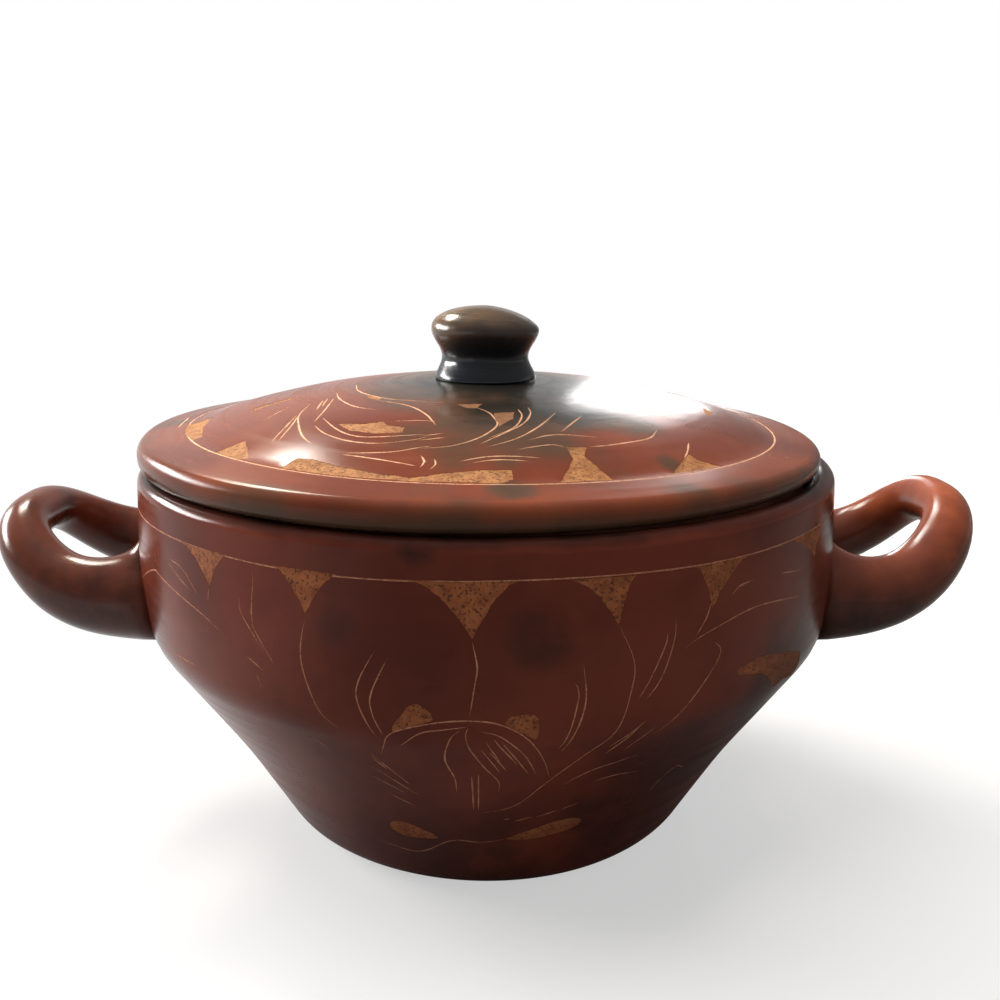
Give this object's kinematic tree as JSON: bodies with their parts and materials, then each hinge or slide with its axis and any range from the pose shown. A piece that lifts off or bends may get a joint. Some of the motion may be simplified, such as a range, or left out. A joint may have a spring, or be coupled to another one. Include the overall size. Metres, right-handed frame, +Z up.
{
  "type": "lidded bowl",
  "caption": "Burnished red-clay serving bowl with looped ear handles and a domed lift-off lid that carries a flange and a black mushroom knob.",
  "frame": {"origin": "centre of the bowl's foot, on the table", "axes": "+Z up along the turning axis, +X through the right-hand handle, the pictured front faces -Y"},
  "size_m": [0.4005, 0.2814, 0.2118],
  "materials": {
    "bowl_clay": "burnished red-brown slip with lines and petals scraped through to tan clay",
    "handle_clay": "burnished red-brown slip, smoke darkened below",
    "lid_clay": "burnished red-brown slip, smoke blackened round the knob, with lines and leaves scraped through to tan clay",
    "plain_clay": "smoothed bare red clay",
    "black_clay": "burnished smoke-black"
  },
  "bodies": {
    "bowl_body": {"bowl": "bowl_clay", "handle_left": "handle_clay", "handle_right": "handle_clay"},
    "lid_body": {"lid": "lid_clay", "lid_flange": "plain_clay", "knob": "black_clay"}
  },
  "joints": [
    {"name": "lid_lift", "type": "slide", "parent": "bowl_body", "child": "lid_body", "axis": [0, 0, 1], "range_m": [0, 0.15]}
  ]
}
